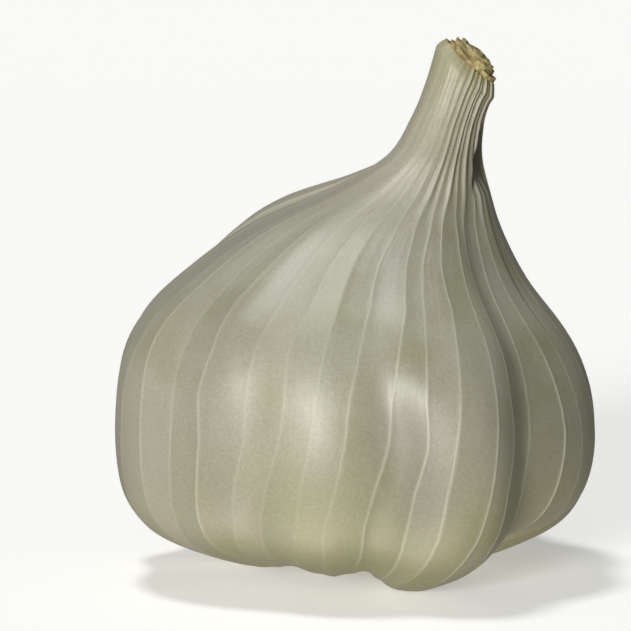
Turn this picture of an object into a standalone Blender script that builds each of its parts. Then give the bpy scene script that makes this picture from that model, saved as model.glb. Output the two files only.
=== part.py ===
"""A whole garlic bulb: the skin-wrapped bulb on its clove feet, the cut end of the
dried stalk in the mouth of the neck, and the corky root plate in the hollow
underneath.  Lengths below are in millimetres and are turned into metres on building.
"""
import math

import bmesh
import bpy
import numpy as np

MM = 0.001

# Half-section of the bulb, from the middle of the underside to the mouth of the neck.
# Each station gives: radius over the back of a clove, height there, how far the
# groove between two cloves lies inward, how far it lies higher, and the lean of the
# neck to the right.
STATIONS = (
    (0.0, 3.8, 0.0, 0.0, 0.0),      # middle of the root hollow
    (5.0, 3.8, 0.2, 0.0, 0.0),      # roof of the root hollow
    (9.5, 2.4, 0.9, 1.2, 0.0),      # wall of the root hollow
    (14.5, -1.0, 2.1, 3.2, 0.0),    # foot of a clove
    (21.6, 0.8, 2.6, 2.6, 0.0),     # outer edge of the foot
    (27.6, 4.6, 3.0, 2.0, 0.0),     # heel of a clove
    (30.4, 10.5, 3.3, 1.1, 0.0),
    (30.8, 17.5, 3.3, 0.5, 0.5),    # widest part
    (30.0, 24.5, 2.9, 0.0, -0.1),
    (27.1, 31.0, 2.4, -0.4, -0.6),
    (21.4, 37.0, 1.7, -0.6, 0.4),   # shoulder
    (15.9, 42.3, 1.0, -0.6, 2.6),
    (9.8, 47.0, 0.4, -0.4, 6.5),    # shoulder runs into the neck
    (5.9, 51.1, 0.2, -0.2, 9.1),
    (4.4, 55.4, 0.2, -0.1, 10.7),
    (3.8, 58.6, 0.1, 0.0, 11.8),
    (3.5, 61.4, 0.1, 0.0, 12.8),    # edge of the cut
    (2.4, 63.3, 0.0, 0.0, 13.8),    # mouth of the neck
)

# The cloves under the skin: bearing in degrees (0 is the front, positive turns to
# the right), half-width in degrees, reach, lift of the foot and lift of the shoulder.
CLOVES = (
    (-57.0, 29.0, 1.06, 2.7, 0.6),
    (-12.0, 16.0, 1.00, 2.6, 0.0),
    (23.0, 19.5, 1.08, 0.5, 0.0),
    (63.0, 20.5, 0.98, 5.4, -1.4),
    (106.0, 22.0, 0.97, 1.4, -1.8),
    (147.0, 18.5, 1.00, 0.2, 0.0),
    (-174.0, 19.0, 1.00, 0.0, 0.0),
    (-134.0, 21.0, 0.98, 0.0, 4.0),
    (-100.0, 13.0, 1.00, 0.9, 0.8),
)

# Grooves that the skin spans more fully: bearing, share of the groove that is filled
# low on the bulb, and share filled high on the shoulder.
SPANNED_GROOVES = (
    (-113.0, 0.00, 0.50),
    (-87.0, 0.10, 0.60),
    (-28.0, 0.30, 0.85),
    (4.0, 0.05, 0.75),
    (42.0, 0.10, 0.80),
    (84.0, 0.00, 0.30),
)

# Grooves that lean sideways as they rise: bearing, lean in degrees to the right, and
# how far the lean reaches to either side.
LEANING_GROOVES = (
    (6.0, 5.0, 18.0),
    (40.0, -5.0, 15.0),
)

CLOVE_ROUNDNESS = 2.3     # how full the back of a clove is
SKIN_BRIDGE = 0.30        # how much the skin spans every groove
SPAN_WIDTH = 14.0         # reach of a spanned groove to either side, degrees
SPAN_LOW = 7.5            # stations between which the fuller span begins
SPAN_HIGH = 10.0
LEAN_LOW = 4.0            # stations between which leaning grooves turn aside
LEAN_HIGH = 7.5
CUT_ANGLE = 42.0          # slope of the cut across the neck, degrees, to the right
CUT_FORWARD = 8.0         # and towards the front
CUT_START = 4.0           # stations below the mouth where rings begin to tilt
CUT_LENGTH = 3.0          # and over how many they reach the full slope

COLUMNS = 72
RING_STEP = 0.5           # stations between rings
FOOT_STEP = 0.2           # closer rings where the feet are pressed flat
FOOT_FROM = 2.4
FOOT_TO = 4.0

MOUTH_WALL = 0.5          # thickness of the skins around the cut stalk
MOUTH_DEPTH = 3.0
GAP = 0.3                 # clearance between neighbouring pieces

STALK_PROUD = 0.25        # the stalk stands this far out of the mouth
STALK_EDGE = 0.10         # height of the edge of its cut face
STALK_PITH = 0.15         # height of the sunken pith in the middle
CROWN_SHARE = 0.8         # radius of the highest ring, as a share of the stalk's
PITH_SHARE = 0.35         # radius of the pith
STALK_COLUMNS = 24
STALK_WAVES = 5
STALK_WAVE = 0.05         # unevenness of the stalk's outline

PLATE_COLUMNS = 24
# Half-section of the root plate from the middle of its top round to the middle below.
PLATE_SECTION = ((0.0, 3.4), (4.2, 3.3), (6.2, 2.5), (6.9, 1.9), (6.4, 1.5),
                 (5.0, 1.3), (3.2, 1.2), (1.6, 1.3), (0.0, 1.4))
OUTER_STUBS = (5.0, 6.3)  # radii between which the outer ring of roots grows
INNER_STUBS = (3.2, 5.0)
STUB_LENGTH = 0.8
STUB_TAPER = 0.7


def clear_scene():
    """Remove every object, so the file builds the same thing each time."""
    for item in list(bpy.data.objects):
        bpy.data.objects.remove(item, do_unlink=True)


def smooth_through(rows, t):
    """Curve through the rows (Catmull-Rom), read at row numbers t."""
    points = np.asarray(rows, float)
    last = len(points) - 1
    t = np.clip(np.asarray(t, float), 0.0, last - 1e-9)
    i = np.floor(t).astype(int)
    f = (t - i)[..., None]
    a = points[np.clip(i - 1, 0, last)]
    b = points[i]
    c = points[np.clip(i + 1, 0, last)]
    d = points[np.clip(i + 2, 0, last)]
    cubic = 3.0 * b - a - 3.0 * c + d
    square = 2.0 * a - 5.0 * b + 4.0 * c - d
    return 0.5 * (2.0 * b + (c - a) * f + square * f ** 2 + cubic * f ** 3)


def hump(t, start, top, end):
    """Soft weight: 0 at start, 1 at top, 0 again at end."""
    rise = (t - start) / (top - start)
    fall = (end - t) / (end - top)
    k = np.clip(np.minimum(rise, fall), 0.0, 1.0)
    return k * k * (3.0 - 2.0 * k)


def clove_backs(bearing):
    """How near each bearing is to a clove's back (1) or a groove (0), and the
    reach, foot lift and shoulder lift of the cloves around it."""
    total = np.zeros_like(bearing)
    weight = np.full_like(bearing, 1e-12)
    blend = np.zeros((3,) + bearing.shape)
    for middle, half_width, reach, foot, shoulder in CLOVES:
        away = ((bearing - middle + 180.0) % 360.0 - 180.0) / half_width
        back = np.clip(1.0 - np.abs(away) ** CLOVE_ROUNDNESS, 0.0, None)
        near = np.exp(-2.0 * away ** 2)
        total += back ** 4
        weight += near
        blend += near * np.array([reach, foot, shoulder])[:, None, None]
    back = total ** 0.25
    back = np.sqrt(back ** 2 + SKIN_BRIDGE ** 2) / math.sqrt(1.0 + SKIN_BRIDGE ** 2)
    return back, blend / weight


def leaning(stations, bearing):
    """Bearing at each station, measured round the grooves that lean."""
    climb = np.clip((stations - LEAN_LOW) / (LEAN_HIGH - LEAN_LOW), 0.0, 1.0)[:, None]
    turned = np.repeat(bearing[None, :], len(stations), axis=0)
    for middle, lean, width in LEANING_GROOVES:
        away = ((turned - middle + 180.0) % 360.0 - 180.0) / width
        turned = turned - lean * climb * np.exp(-away ** 2)
    return turned


def spanned(stations, bearing):
    """Share of the groove that the skin fills at each station and bearing."""
    climb = np.clip((stations - SPAN_LOW) / (SPAN_HIGH - SPAN_LOW), 0.0, 1.0)[:, None]
    share = np.zeros_like(bearing)
    for middle, low, high in SPANNED_GROOVES:
        away = ((bearing - middle + 180.0) % 360.0 - 180.0) / SPAN_WIDTH
        share += (low + (high - low) * climb) * np.exp(-away ** 2)
    return np.minimum(share, 0.95)


def bulb_points(stations, bearing, inset=0.0):
    """Points of the skin, one row per station and one column per bearing."""
    s = np.asarray(stations, float)
    radius, height, depth, lift, lean = smooth_through(STATIONS, s).T[:, :, None]
    turned = leaning(s, bearing)
    back, (reach, foot, shoulder) = clove_backs(turned)
    back = back + (1.0 - back) * spanned(s, turned)
    belly = hump(s, 2.5, 7.5, 12.5)[:, None]
    low = hump(s, 0.5, 3.5, 8.0)[:, None]
    high = hump(s, 7.0, 10.2, 13.5)[:, None]
    groove = radius - depth
    stretch = (reach - 1.0) * belly
    r = groove + (radius * (1.0 + stretch) - groove) * back
    r = r + groove * stretch * (1.0 - back) * 0.6 - inset
    z = height + lift * (1.0 - back) + (foot * low + shoulder * high) * (0.35 + 0.65 * back)
    turn = np.radians(bearing)
    x = r * np.sin(turn)
    y = -r * np.cos(turn)
    last = len(STATIONS) - 1
    along = np.clip((s - (last - CUT_START)) / CUT_LENGTH, 0.0, 1.0)
    slope = np.tan(np.radians(CUT_ANGLE) * along ** 1.5)[:, None]
    forward = np.tan(np.radians(CUT_FORWARD) * along)[:, None]
    z = z - x * slope + y * forward
    z = np.maximum(z, 0.0)
    return np.stack([x + lean, y, z], axis=-1)


def ring_stations():
    """Station numbers of the rings, closer together under the feet."""
    last = len(STATIONS) - 1
    below = np.arange(RING_STEP, FOOT_FROM, RING_STEP)
    feet = np.arange(FOOT_FROM, FOOT_TO, FOOT_STEP)
    above = np.arange(FOOT_TO, last, RING_STEP)
    return np.concatenate([below, feet, above, [last]])


def body_of_rings(name, rings, first_pole, last_pole):
    """Closed body from rings of points, capped by a point at either end: a UV sphere
    whose poles and rings are drawn out to the points."""
    count, columns = rings.shape[:2]
    shell = bmesh.new()
    bmesh.ops.create_uvsphere(shell, u_segments=columns, v_segments=count + 1, radius=1.0)
    for vertex in shell.verts:
        x, y, z = vertex.co
        down = math.acos(max(-1.0, min(1.0, -z))) / math.pi
        row = round(down * (count + 1)) - 1
        column = round(math.atan2(x, -y) / math.tau * columns) % columns
        if row < 0:
            point = first_pole
        elif row >= count:
            point = last_pole
        else:
            point = rings[row][column]
        vertex.co = [value * MM for value in point]
    mesh = bpy.data.meshes.new(name)
    shell.to_mesh(mesh)
    shell.free()
    item = bpy.data.objects.new(name, mesh)
    bpy.context.scene.collection.objects.link(item)
    return item


def face_outward(item):
    """Turn every face of a closed body to look outward."""
    shell = bmesh.new()
    shell.from_mesh(item.data)
    bmesh.ops.recalc_face_normals(shell, faces=shell.faces)
    shell.to_mesh(item.data)
    shell.free()


def shade(item, angle):
    """Smooth shading with an edge kept wherever the faces turn sharply."""
    item.data.shade_smooth()
    item.data.set_sharp_from_angle(angle=math.radians(angle))


def add_material(item, name, colour, roughness):
    """Give a piece its own plain surface."""
    material = bpy.data.materials.new(name)
    material.use_nodes = True
    surface = material.node_tree.nodes["Principled BSDF"]
    surface.inputs["Base Color"].default_value = (*colour, 1.0)
    surface.inputs["Roughness"].default_value = roughness
    surface.inputs["Metallic"].default_value = 0.0
    item.data.materials.append(material)


def make_bulb():
    """Skin-wrapped bulb with its neck, the socket in the mouth and the root hollow."""
    bearing = np.arange(COLUMNS) * 360.0 / COLUMNS
    outer = bulb_points(ring_stations(), bearing)
    last = len(STATIONS) - 1
    rim = bulb_points([last], bearing, MOUTH_WALL)
    floor = rim - np.array([0.0, 0.0, MOUTH_DEPTH])
    rings = np.concatenate([outer, rim, floor])
    middle_below = (0.0, 0.0, STATIONS[0][1])
    middle_mouth = floor[0].mean(axis=0)
    bulb = body_of_rings("bulb", rings, middle_below, middle_mouth)
    face_outward(bulb)
    shade(bulb, 50.0)
    add_material(bulb, "garlic_skin", (0.62, 0.59, 0.47), 0.45)
    return bulb


def make_stalk():
    """Cut end of the dried stalk, standing in the mouth of the neck."""
    bearing = np.arange(STALK_COLUMNS) * 360.0 / STALK_COLUMNS
    last = len(STATIONS) - 1
    mouth = bulb_points([last], bearing, MOUTH_WALL + GAP)[0]
    middle = mouth.mean(axis=0)
    wave = STALK_WAVE * (1.0 - np.cos(np.radians(bearing * STALK_WAVES)))
    side = middle + (mouth - middle) * (1.0 - wave)[:, None]
    up = np.array([0.0, 0.0, 1.0])
    foot = side - up * (MOUTH_DEPTH - GAP)
    top = side + up * STALK_EDGE
    crown = middle + (side - middle) * CROWN_SHARE + up * STALK_PROUD
    hollow = middle + (side - middle) * PITH_SHARE + up * STALK_PITH
    rings = np.stack([foot, top, crown, hollow])
    stalk = body_of_rings("stalk", rings, foot.mean(axis=0), hollow.mean(axis=0))
    face_outward(stalk)
    shade(stalk, 40.0)
    add_material(stalk, "dry_stalk", (0.30, 0.23, 0.12), 0.85)
    return stalk


def add_root_stubs(plate):
    """Draw short trimmed root stubs down out of the plate's underside."""
    shell = bmesh.new()
    shell.from_mesh(plate.data)
    shell.faces.ensure_lookup_table()
    stubs = []
    for face in shell.faces:
        middle = face.calc_center_median()
        reach = math.hypot(middle.x, middle.y) / MM
        turn = math.atan2(middle.y, middle.x) / math.tau * PLATE_COLUMNS
        sector = math.floor(turn)
        outer_row = OUTER_STUBS[0] < reach < OUTER_STUBS[1] and sector % 2 == 0
        inner_row = INNER_STUBS[0] < reach < INNER_STUBS[1] and sector % 2 == 1
        if face.normal.z < -0.5 and (outer_row or inner_row):
            stubs.append(face)
    drawn = bmesh.ops.extrude_discrete_faces(shell, faces=stubs)["faces"]
    for face in drawn:
        middle = face.calc_center_median()
        for corner in face.verts:
            corner.co = middle + (corner.co - middle) * STUB_TAPER
            corner.co.z -= STUB_LENGTH * MM
    shell.to_mesh(plate.data)
    shell.free()


def make_root_plate():
    """Corky disc at the base of the bulb with its trimmed roots."""
    bearing = np.radians(np.arange(PLATE_COLUMNS) * 360.0 / PLATE_COLUMNS)
    rings = []
    for radius, height in PLATE_SECTION[1:-1]:
        ring = np.stack([radius * np.cos(bearing), radius * np.sin(bearing),
                         np.full(PLATE_COLUMNS, height)], axis=-1)
        rings.append(ring)
    first = (0.0, 0.0, PLATE_SECTION[0][1])
    final = (0.0, 0.0, PLATE_SECTION[-1][1])
    plate = body_of_rings("root_plate", np.array(rings), first, final)
    face_outward(plate)
    add_root_stubs(plate)
    shade(plate, 35.0)
    add_material(plate, "root_cork", (0.25, 0.18, 0.10), 0.9)
    return plate


def centre_on_base(items):
    """Move all pieces together so the bulb's bounding box is centred over the origin."""
    box = np.array([corner[:] for item in items for corner in item.bound_box])
    low = box.min(axis=0)
    high = box.max(axis=0)
    shift = np.array([-(low[0] + high[0]) / 2.0, -(low[1] + high[1]) / 2.0, -low[2]])
    for item in items:
        for vertex in item.data.vertices:
            vertex.co.x += shift[0]
            vertex.co.y += shift[1]
            vertex.co.z += shift[2]
        item.data.update()


clear_scene()
centre_on_base([make_bulb(), make_stalk(), make_root_plate()])
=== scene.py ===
# %% [markdown]
# # A whole garlic bulb
#
# This file dresses a plain solid model of a garlic bulb as the real thing: cloves
# pressing through papery skin, veins that run from the neck to the root, a pleated
# neck, the cut end of the dried stalk, and the corky root plate underneath.
#
# The solid model is loaded first and stays as it is. Every new piece is made in the
# same place and at the same size, in metres, with +Z up and the front towards -Y.

# %% Load the solid model
import math

import bpy
import numpy as np
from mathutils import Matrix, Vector


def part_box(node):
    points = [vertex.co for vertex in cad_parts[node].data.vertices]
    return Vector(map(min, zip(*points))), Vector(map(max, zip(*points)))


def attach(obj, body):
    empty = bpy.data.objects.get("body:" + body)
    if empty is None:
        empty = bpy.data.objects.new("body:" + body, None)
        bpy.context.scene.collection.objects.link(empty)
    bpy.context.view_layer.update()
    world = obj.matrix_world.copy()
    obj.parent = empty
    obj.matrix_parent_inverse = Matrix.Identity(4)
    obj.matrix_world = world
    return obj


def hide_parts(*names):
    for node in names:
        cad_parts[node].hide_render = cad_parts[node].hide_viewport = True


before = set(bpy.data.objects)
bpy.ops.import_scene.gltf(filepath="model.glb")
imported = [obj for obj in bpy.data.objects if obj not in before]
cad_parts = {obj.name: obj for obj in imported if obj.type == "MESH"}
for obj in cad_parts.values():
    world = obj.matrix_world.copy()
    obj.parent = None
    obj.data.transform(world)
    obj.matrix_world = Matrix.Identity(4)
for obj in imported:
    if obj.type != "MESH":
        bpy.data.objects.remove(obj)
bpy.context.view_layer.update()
BULB_LOW, BULB_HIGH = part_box("bulb")

# %% [markdown]
# ## Millimetres
#
# Vegetables are measured in millimetres and Blender works in metres, so lengths are
# written in millimetres and multiplied by one value when a mesh is filled.

# %% A millimetre in metres
MM = 0.001
rng = np.random.default_rng(7)

# %% [markdown]
# ## The half-section of the bulb
#
# A bulb is drawn like a boat: a few stations along its outline, each with a radius
# and a height, and a smooth curve through them. A second set of numbers at each
# station says how far the groove between two cloves falls in. A lathe would give a
# plain onion, so the two outlines are blended round the bulb afterwards.

# %% Stations from the root hollow to the mouth of the neck
# radius over a clove, height, groove depth, groove lift, lean to the right (mm)
STATIONS = (
    (0.0, 3.8, 0.0, 0.0, 0.0),
    (5.0, 3.8, 0.2, 0.0, 0.0),
    (9.5, 2.4, 0.9, 1.2, 0.0),
    (14.5, -1.0, 2.1, 3.2, 0.0),
    (21.6, 0.8, 2.6, 2.6, 0.0),
    (27.6, 4.6, 3.0, 2.0, 0.0),
    (30.4, 10.5, 3.3, 1.1, 0.0),
    (30.8, 17.5, 3.3, 0.5, 0.5),
    (30.0, 24.5, 2.9, 0.0, -0.1),
    (27.1, 31.0, 2.4, -0.4, -0.6),
    (21.4, 37.0, 1.7, -0.6, 0.4),
    (15.9, 42.3, 1.0, -0.6, 2.6),
    (9.8, 47.0, 0.4, -0.4, 6.5),
    (5.9, 51.1, 0.2, -0.2, 9.1),
    (4.4, 55.4, 0.2, -0.1, 10.7),
    (3.8, 58.6, 0.1, 0.0, 11.8),
    (3.5, 61.4, 0.1, 0.0, 12.8),
    (2.9, 62.7, 0.0, 0.0, 13.4),
)
LAST = len(STATIONS) - 1


def smooth_through(rows, t):
    """Catmull-Rom curve through the rows, read at row numbers t."""
    points = np.asarray(rows, float)
    last = len(points) - 1
    t = np.clip(np.asarray(t, float), 0.0, last - 1e-9)
    i = np.floor(t).astype(int)
    f = (t - i)[..., None]
    a, b = points[np.clip(i - 1, 0, last)], points[i]
    c, d = points[np.clip(i + 1, 0, last)], points[np.clip(i + 2, 0, last)]
    cubic = 3.0 * b - a - 3.0 * c + d
    square = 2.0 * a - 5.0 * b + 4.0 * c - d
    return 0.5 * (2.0 * b + (c - a) * f + square * f ** 2 + cubic * f ** 3)


print("stations:", len(STATIONS), "widest radius:", max(row[0] for row in STATIONS), "mm")

# %% [markdown]
# ## The cloves under the skin
#
# Nine cloves stand in a ring. Each has a bearing (0 is the front, positive turns to
# the right), a half-width, and small differences in reach, foot and shoulder. Taken
# alone the cloves would meet in sharp creases. The dried skin is stretched over them
# like a tent, so the outline round the bulb is blurred over a few degrees, and some
# grooves in front are spanned almost completely towards the shoulder.

# %% Cloves and the blend between their backs and the grooves
CLOVES = (
    (-57.0, 29.0, 1.06, 2.7, 0.6),
    (-12.0, 16.0, 1.00, 2.6, 0.0),
    (23.0, 19.5, 1.08, 0.5, 0.0),
    (63.0, 20.5, 0.98, 5.4, -1.4),
    (106.0, 22.0, 0.97, 1.4, -1.8),
    (147.0, 18.5, 1.00, 0.2, 0.0),
    (-174.0, 19.0, 1.00, 0.0, 0.0),
    (-134.0, 21.0, 0.98, 0.0, 4.0),
    (-100.0, 13.0, 1.00, 0.9, 0.8),
)
# bearing of the groove, share filled low on the bulb, share filled on the shoulder
SPANNED_GROOVES = (
    (-87.0, 0.10, 0.60),
    (-28.0, 0.30, 0.85),
    (4.0, 0.05, 0.75),
    (42.0, 0.10, 0.92),
    (84.0, 0.00, 0.30),
    (-113.0, 0.0, 0.50),
)
CLOVE_ROUNDNESS = 2.3   # 2 is a plain round back, more is flatter
SKIN_STRETCH = 4.2      # spread of the blur round the bulb, degrees
SPAN_WIDTH = 14.0       # reach of a spanned groove to either side, degrees


def turned(bearing, middle):
    """Degrees from middle to a bearing, the short way round."""
    return (bearing - middle + 180.0) % 360.0 - 180.0


def sharp_backs(bearing):
    """1 on a clove's back and 0 in the crease, with the cloves' differences."""
    total = np.zeros_like(bearing)
    weight = np.full_like(bearing, 1e-12)
    blend = [np.zeros_like(bearing) for _ in range(3)]
    for middle, half_width, *differences in CLOVES:
        away = turned(bearing, middle) / half_width
        total += np.clip(1.0 - np.abs(away) ** CLOVE_ROUNDNESS, 0.0, None) ** 4
        near = np.exp(-2.0 * away ** 2)
        weight += near
        for value, difference in zip(blend, differences):
            value += near * difference
    return total ** 0.25, [value / weight for value in blend]


round_bulb = np.arange(-180.0, 180.0, 0.5)
creased, clove_differences = sharp_backs(round_bulb)
kernel = np.exp(-0.5 * (turned(round_bulb, 0.0) / SKIN_STRETCH) ** 2)
spectrum = np.fft.rfft(creased) * np.fft.rfft(np.roll(kernel, len(kernel) // 2))
stretched = np.fft.irfft(spectrum, len(creased)) / kernel.sum()
print("groove depth left by the stretched skin:", round(float(1.0 - stretched.min()), 2))


def clove_backs(bearing):
    """Stretched backs and the cloves' differences at any bearing."""
    place = turned(bearing, 0.0)
    back = np.interp(place, round_bulb, stretched, period=360.0)
    return back, [np.interp(place, round_bulb, value, period=360.0) for value in clove_differences]


def hump(t, start, top, end):
    """Soft weight: 0 at start, 1 at top, 0 again at end."""
    k = np.clip(np.minimum((t - start) / (top - start), (end - t) / (end - top)), 0.0, 1.0)
    return k * k * (3.0 - 2.0 * k)


def ramp(t, start, end):
    """Soft weight: 0 up to start and 1 from end on."""
    k = np.clip((t - start) / (end - start), 0.0, 1.0)
    return k * k * (3.0 - 2.0 * k)


# %% [markdown]
# ## Any point of the bulb
#
# One function turns a station and a bearing into a place. Near the top the rings
# tilt until they lie in the slanting cut, and nothing goes below the table, which
# presses the feet flat. Two grooves in front lean sideways as they rise. The bulb is
# then moved to sit where the solid model sits.

# %% Bulb surface
CUT_SLOPE = 42.0        # fall of the cut to the right, degrees
CUT_FORWARD = 11.0      # fall of the cut to the front, degrees
CUT_START = 4.0         # stations below the mouth where rings start to tilt
CUT_LENGTH = 3.0        # stations over which they tilt
# bearing of the groove, lean to the right, reach to either side (degrees)
LEANING_GROOVES = ((6.0, 5.0, 18.0), (40.0, -5.0, 15.0))
LEAN_LOW, LEAN_HIGH = 4.0, 7.5      # stations between which grooves turn aside
SPAN_LOW, SPAN_HIGH = 6.6, 9.6      # stations between which the skin lifts off
MOST_FILLED = 0.95      # no groove is filled more than this


def leaning(s, bearing):
    """Bearing measured round grooves that lean sideways as they rise."""
    for middle, lean, reach in LEANING_GROOVES:
        near = np.exp(-(turned(bearing, middle) / reach) ** 2)
        bearing = bearing - lean * ramp(s, LEAN_LOW, LEAN_HIGH) * near
    return bearing


def spanned(s, bearing):
    """Share of the groove that the skin fills."""
    climb = ramp(s, SPAN_LOW, SPAN_HIGH)
    share = np.zeros_like(s)
    for middle, low, high in SPANNED_GROOVES:
        near = np.exp(-(turned(bearing, middle) / SPAN_WIDTH) ** 2)
        share += (low + (high - low) * climb) * near
    return np.minimum(share, MOST_FILLED)


def bulb_points(s, bearing):
    """Points in mm for arrays of stations and bearings of one shape."""
    radius, height, depth, lift, lean = np.moveaxis(smooth_through(STATIONS, s), -1, 0)
    back, (reach, foot, shoulder) = clove_backs(leaning(s, bearing))
    back = back + (1.0 - back) * spanned(s, leaning(s, bearing))
    stretch = (reach - 1.0) * hump(s, 2.5, 7.5, 12.5)
    groove = radius - depth
    r = groove + (radius * (1.0 + stretch) - groove) * back
    r = r + groove * stretch * (1.0 - back) * 0.6
    raise_by = foot * hump(s, 0.5, 3.5, 8.0) + shoulder * hump(s, 7.0, 10.2, 13.5)
    z = height + lift * (1.0 - back) + raise_by * (0.35 + 0.65 * back)
    x = r * np.sin(np.radians(bearing))
    y = -r * np.cos(np.radians(bearing))
    along = np.clip((s - (LAST - CUT_START)) / CUT_LENGTH, 0.0, 1.0)
    z = z - x * np.tan(np.radians(CUT_SLOPE) * along ** 1.5)
    z = z + y * np.tan(np.radians(CUT_FORWARD) * along)
    return np.stack([x + lean, y, np.maximum(z, 0.0)], axis=-1)


test_s, test_b = np.meshgrid(np.arange(0.5, LAST + 0.1, 0.5), np.arange(0, 360, 5.0), indexing="ij")
plain = bulb_points(test_s, test_b).reshape(-1, 3)
SHIFT = np.array(BULB_LOW) / MM - plain.min(axis=0)
SHIFT = (SHIFT + np.array(BULB_HIGH) / MM - plain.max(axis=0)) / 2.0
SHIFT[2] = 0.0
print("moved onto the solid model by, mm:", SHIFT.round(2))

# %% [markdown]
# ## Camera
#
# A long lens far back keeps the bulb's proportions true. The camera looks from just
# above the table, and a small lens shift places the bulb in the picture. The lens
# follows from how much of the frame the 60 mm wide bulb should fill.

# %% Camera
CAMERA_HEIGHT_DEG = 6.0
CAMERA_AWAY = 330.0             # mm
LOOK_HEIGHT = 30.0              # mm above the table
SENSOR = 36.0                   # mm
FRAME_SIDE = 631.0              # side of the square frame, the unit of the next two
WIDTH_IN_FRAME = 484.0          # the bulb's greatest width there
MIDDLE_IN_FRAME = (360.5, 326.4)    # its middle, from the top left corner
BULB_WIDTH = 60.0               # mm

bpy.ops.object.select_all(action="DESELECT")
look_at = Vector((SHIFT[0] * MM, SHIFT[1] * MM, LOOK_HEIGHT * MM))
tilt = math.radians(CAMERA_HEIGHT_DEG)
back_off = Vector((0.0, -math.cos(tilt), math.sin(tilt))) * CAMERA_AWAY * MM
bpy.ops.object.camera_add(location=look_at + back_off, rotation=(math.pi / 2 - tilt, 0.0, 0.0))
camera = bpy.context.object
camera.name = "camera"
camera.data.sensor_width = SENSOR
camera.data.lens = WIDTH_IN_FRAME / BULB_WIDTH * CAMERA_AWAY / FRAME_SIDE * SENSOR
camera.data.shift_x = (FRAME_SIDE / 2 - MIDDLE_IN_FRAME[0]) / FRAME_SIDE
camera.data.shift_y = (MIDDLE_IN_FRAME[1] - FRAME_SIDE / 2) / FRAME_SIDE
camera.data.clip_start = 0.01
bpy.context.scene.camera = camera
bpy.context.scene.view_settings.view_transform = "Standard"
print("lens, mm:", round(camera.data.lens, 1))

# %% [markdown]
# ## Adding nodes and colours
#
# One small function adds a shader node: settings go on the node, and each input is
# either a plain value or the output of another node. A second turns the hex colour
# of a swatch, which is sRGB, into the linear numbers that shaders work with.

# %% Node and colour helpers
def linear(swatch):
    """sRGB hex colour as linear RGBA."""
    parts = [int(swatch[i:i + 2], 16) / 255.0 for i in (1, 3, 5)]
    parts = [c / 12.92 if c <= 0.04045 else ((c + 0.055) / 1.055) ** 2.4 for c in parts]
    return (*parts, 1.0)


def add(tree, kind, inputs=None, **settings):
    """Add one node with its settings, and fill or link its inputs."""
    made = tree.nodes.new(kind)
    for name, value in settings.items():
        setattr(made, name, value)
    for name, value in (inputs or {}).items():
        if isinstance(value, bpy.types.NodeSocket):
            tree.links.new(value, made.inputs[name])
        else:
            made.inputs[name].default_value = value
    return made


def new_material(name):
    """Empty material: its node tree and its Principled shader."""
    material = bpy.data.materials.new(name)
    material.use_nodes = True
    return material, material.node_tree, material.node_tree.nodes["Principled BSDF"]


print("middle grey #808080 in linear light:", round(linear("#808080")[0], 3))

# %% [markdown]
# ## Table and backdrop
#
# The bulb stands on a plain pale table inside a wide, low ring of lit backdrop, so
# the table runs into the same pale tone on every side. So much white paper would
# light the bulb from all round and wash out its shape. In a studio black flags are
# put up against that; here both are seen by the camera, but are left out of the
# bulb's reflections, bounced light and shade.

# %% Table
TABLE_GLOW = 0.32
BACKDROP_GLOW = 0.95


def keep_off_the_bulb(item):
    """The item is seen, and neither shades nor brightens the bulb."""
    item.visible_diffuse = False
    item.visible_glossy = False
    item.visible_shadow = False


bpy.ops.object.select_all(action="DESELECT")
bpy.ops.mesh.primitive_plane_add(size=8.0, location=(0.0, 0.0, -0.0002))
table = bpy.context.object
table.name = "table"
keep_off_the_bulb(table)
# matte paint gives no gloss at all, only an even tone
paper, tree, shader = new_material("matte_table_paint")
shader.inputs["Base Color"].default_value = linear("#f1f1f1")
shader.inputs["Roughness"].default_value = 1.0
shader.inputs["Specular IOR Level"].default_value = 0.0
shader.inputs["Emission Color"].default_value = linear("#ffffff")
shader.inputs["Emission Strength"].default_value = TABLE_GLOW
table.data.materials.append(paper)
print("table, m:", round(table.dimensions.x, 2))

# %% Backdrop ring
bpy.ops.object.select_all(action="DESELECT")
bpy.ops.mesh.primitive_cylinder_add(
    vertices=96, radius=3.9, depth=0.8, end_fill_type="NOTHING", location=(0.0, 0.0, 0.39))
backdrop = bpy.context.object
backdrop.name = "backdrop"
keep_off_the_bulb(backdrop)
# paper lit evenly from behind: it gives out light and takes none
glow, tree, shader = new_material("lit_backdrop_paper")
shader.inputs["Base Color"].default_value = linear("#000000")
shader.inputs["Specular IOR Level"].default_value = 0.0
shader.inputs["Emission Color"].default_value = (1.0, 0.999, 0.983, 1.0)
shader.inputs["Emission Strength"].default_value = BACKDROP_GLOW
backdrop.data.materials.append(glow)
print("backdrop, m:", round(backdrop.dimensions.x, 2))

# %% [markdown]
# ## Light
#
# A broad soft light comes from low on the left in front, as from a window. It puts
# a sheen on each clove and leaves the right side in shade. A second one, nearly
# overhead, finds the shoulder, and a weak, very wide one from below stands for the
# light that the table would send up. Sun lamps suit a small object: their rays are
# parallel, and their angle sets how soft the shadow edges are.

# %% Lights
# name, bearing and height (degrees), strength, angle (degrees), colour
LIGHTS = (
    ("window", -21.0, 12.0, 2.55, 14.0, "#fffefa"),
    ("shoulder_light", -100.0, 80.0, 1.12, 12.0, "#ffffff"),
    ("table_bounce", -20.0, -62.0, 2.1, 60.0, "#fff8e6"),
)
WORLD_LIGHT = 0.20


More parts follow.
